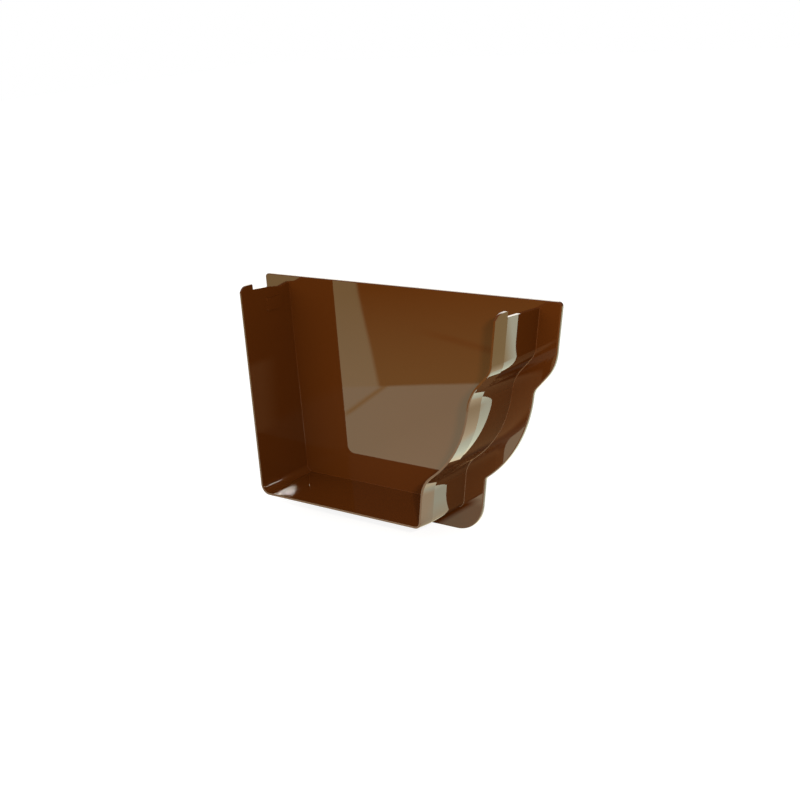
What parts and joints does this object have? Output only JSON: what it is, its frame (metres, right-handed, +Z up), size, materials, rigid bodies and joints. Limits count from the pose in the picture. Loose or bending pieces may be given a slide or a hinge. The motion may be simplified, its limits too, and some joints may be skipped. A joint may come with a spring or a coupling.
{
  "type": "ogee gutter end cap",
  "caption": "End cap for an ogee rainwater gutter: a flat plate with a stepped ogee front edge and an open trough-shaped spigot with locking tabs.",
  "frame": {"origin": "middle of the spigot's section (110.4 by 75.4 mm) on the inner face of the end plate", "axes": "X from the wall side to the front of the gutter, Z up, -Y the way the spigot points into the gutter run"},
  "size_m": [0.1284, 0.0255, 0.0863],
  "materials": {
    "brown_plastic": "glossy as moulded, brown right through"
  },
  "bodies": {
    "root": {"gutter_end_cap": "brown_plastic"}
  },
  "joints": []
}
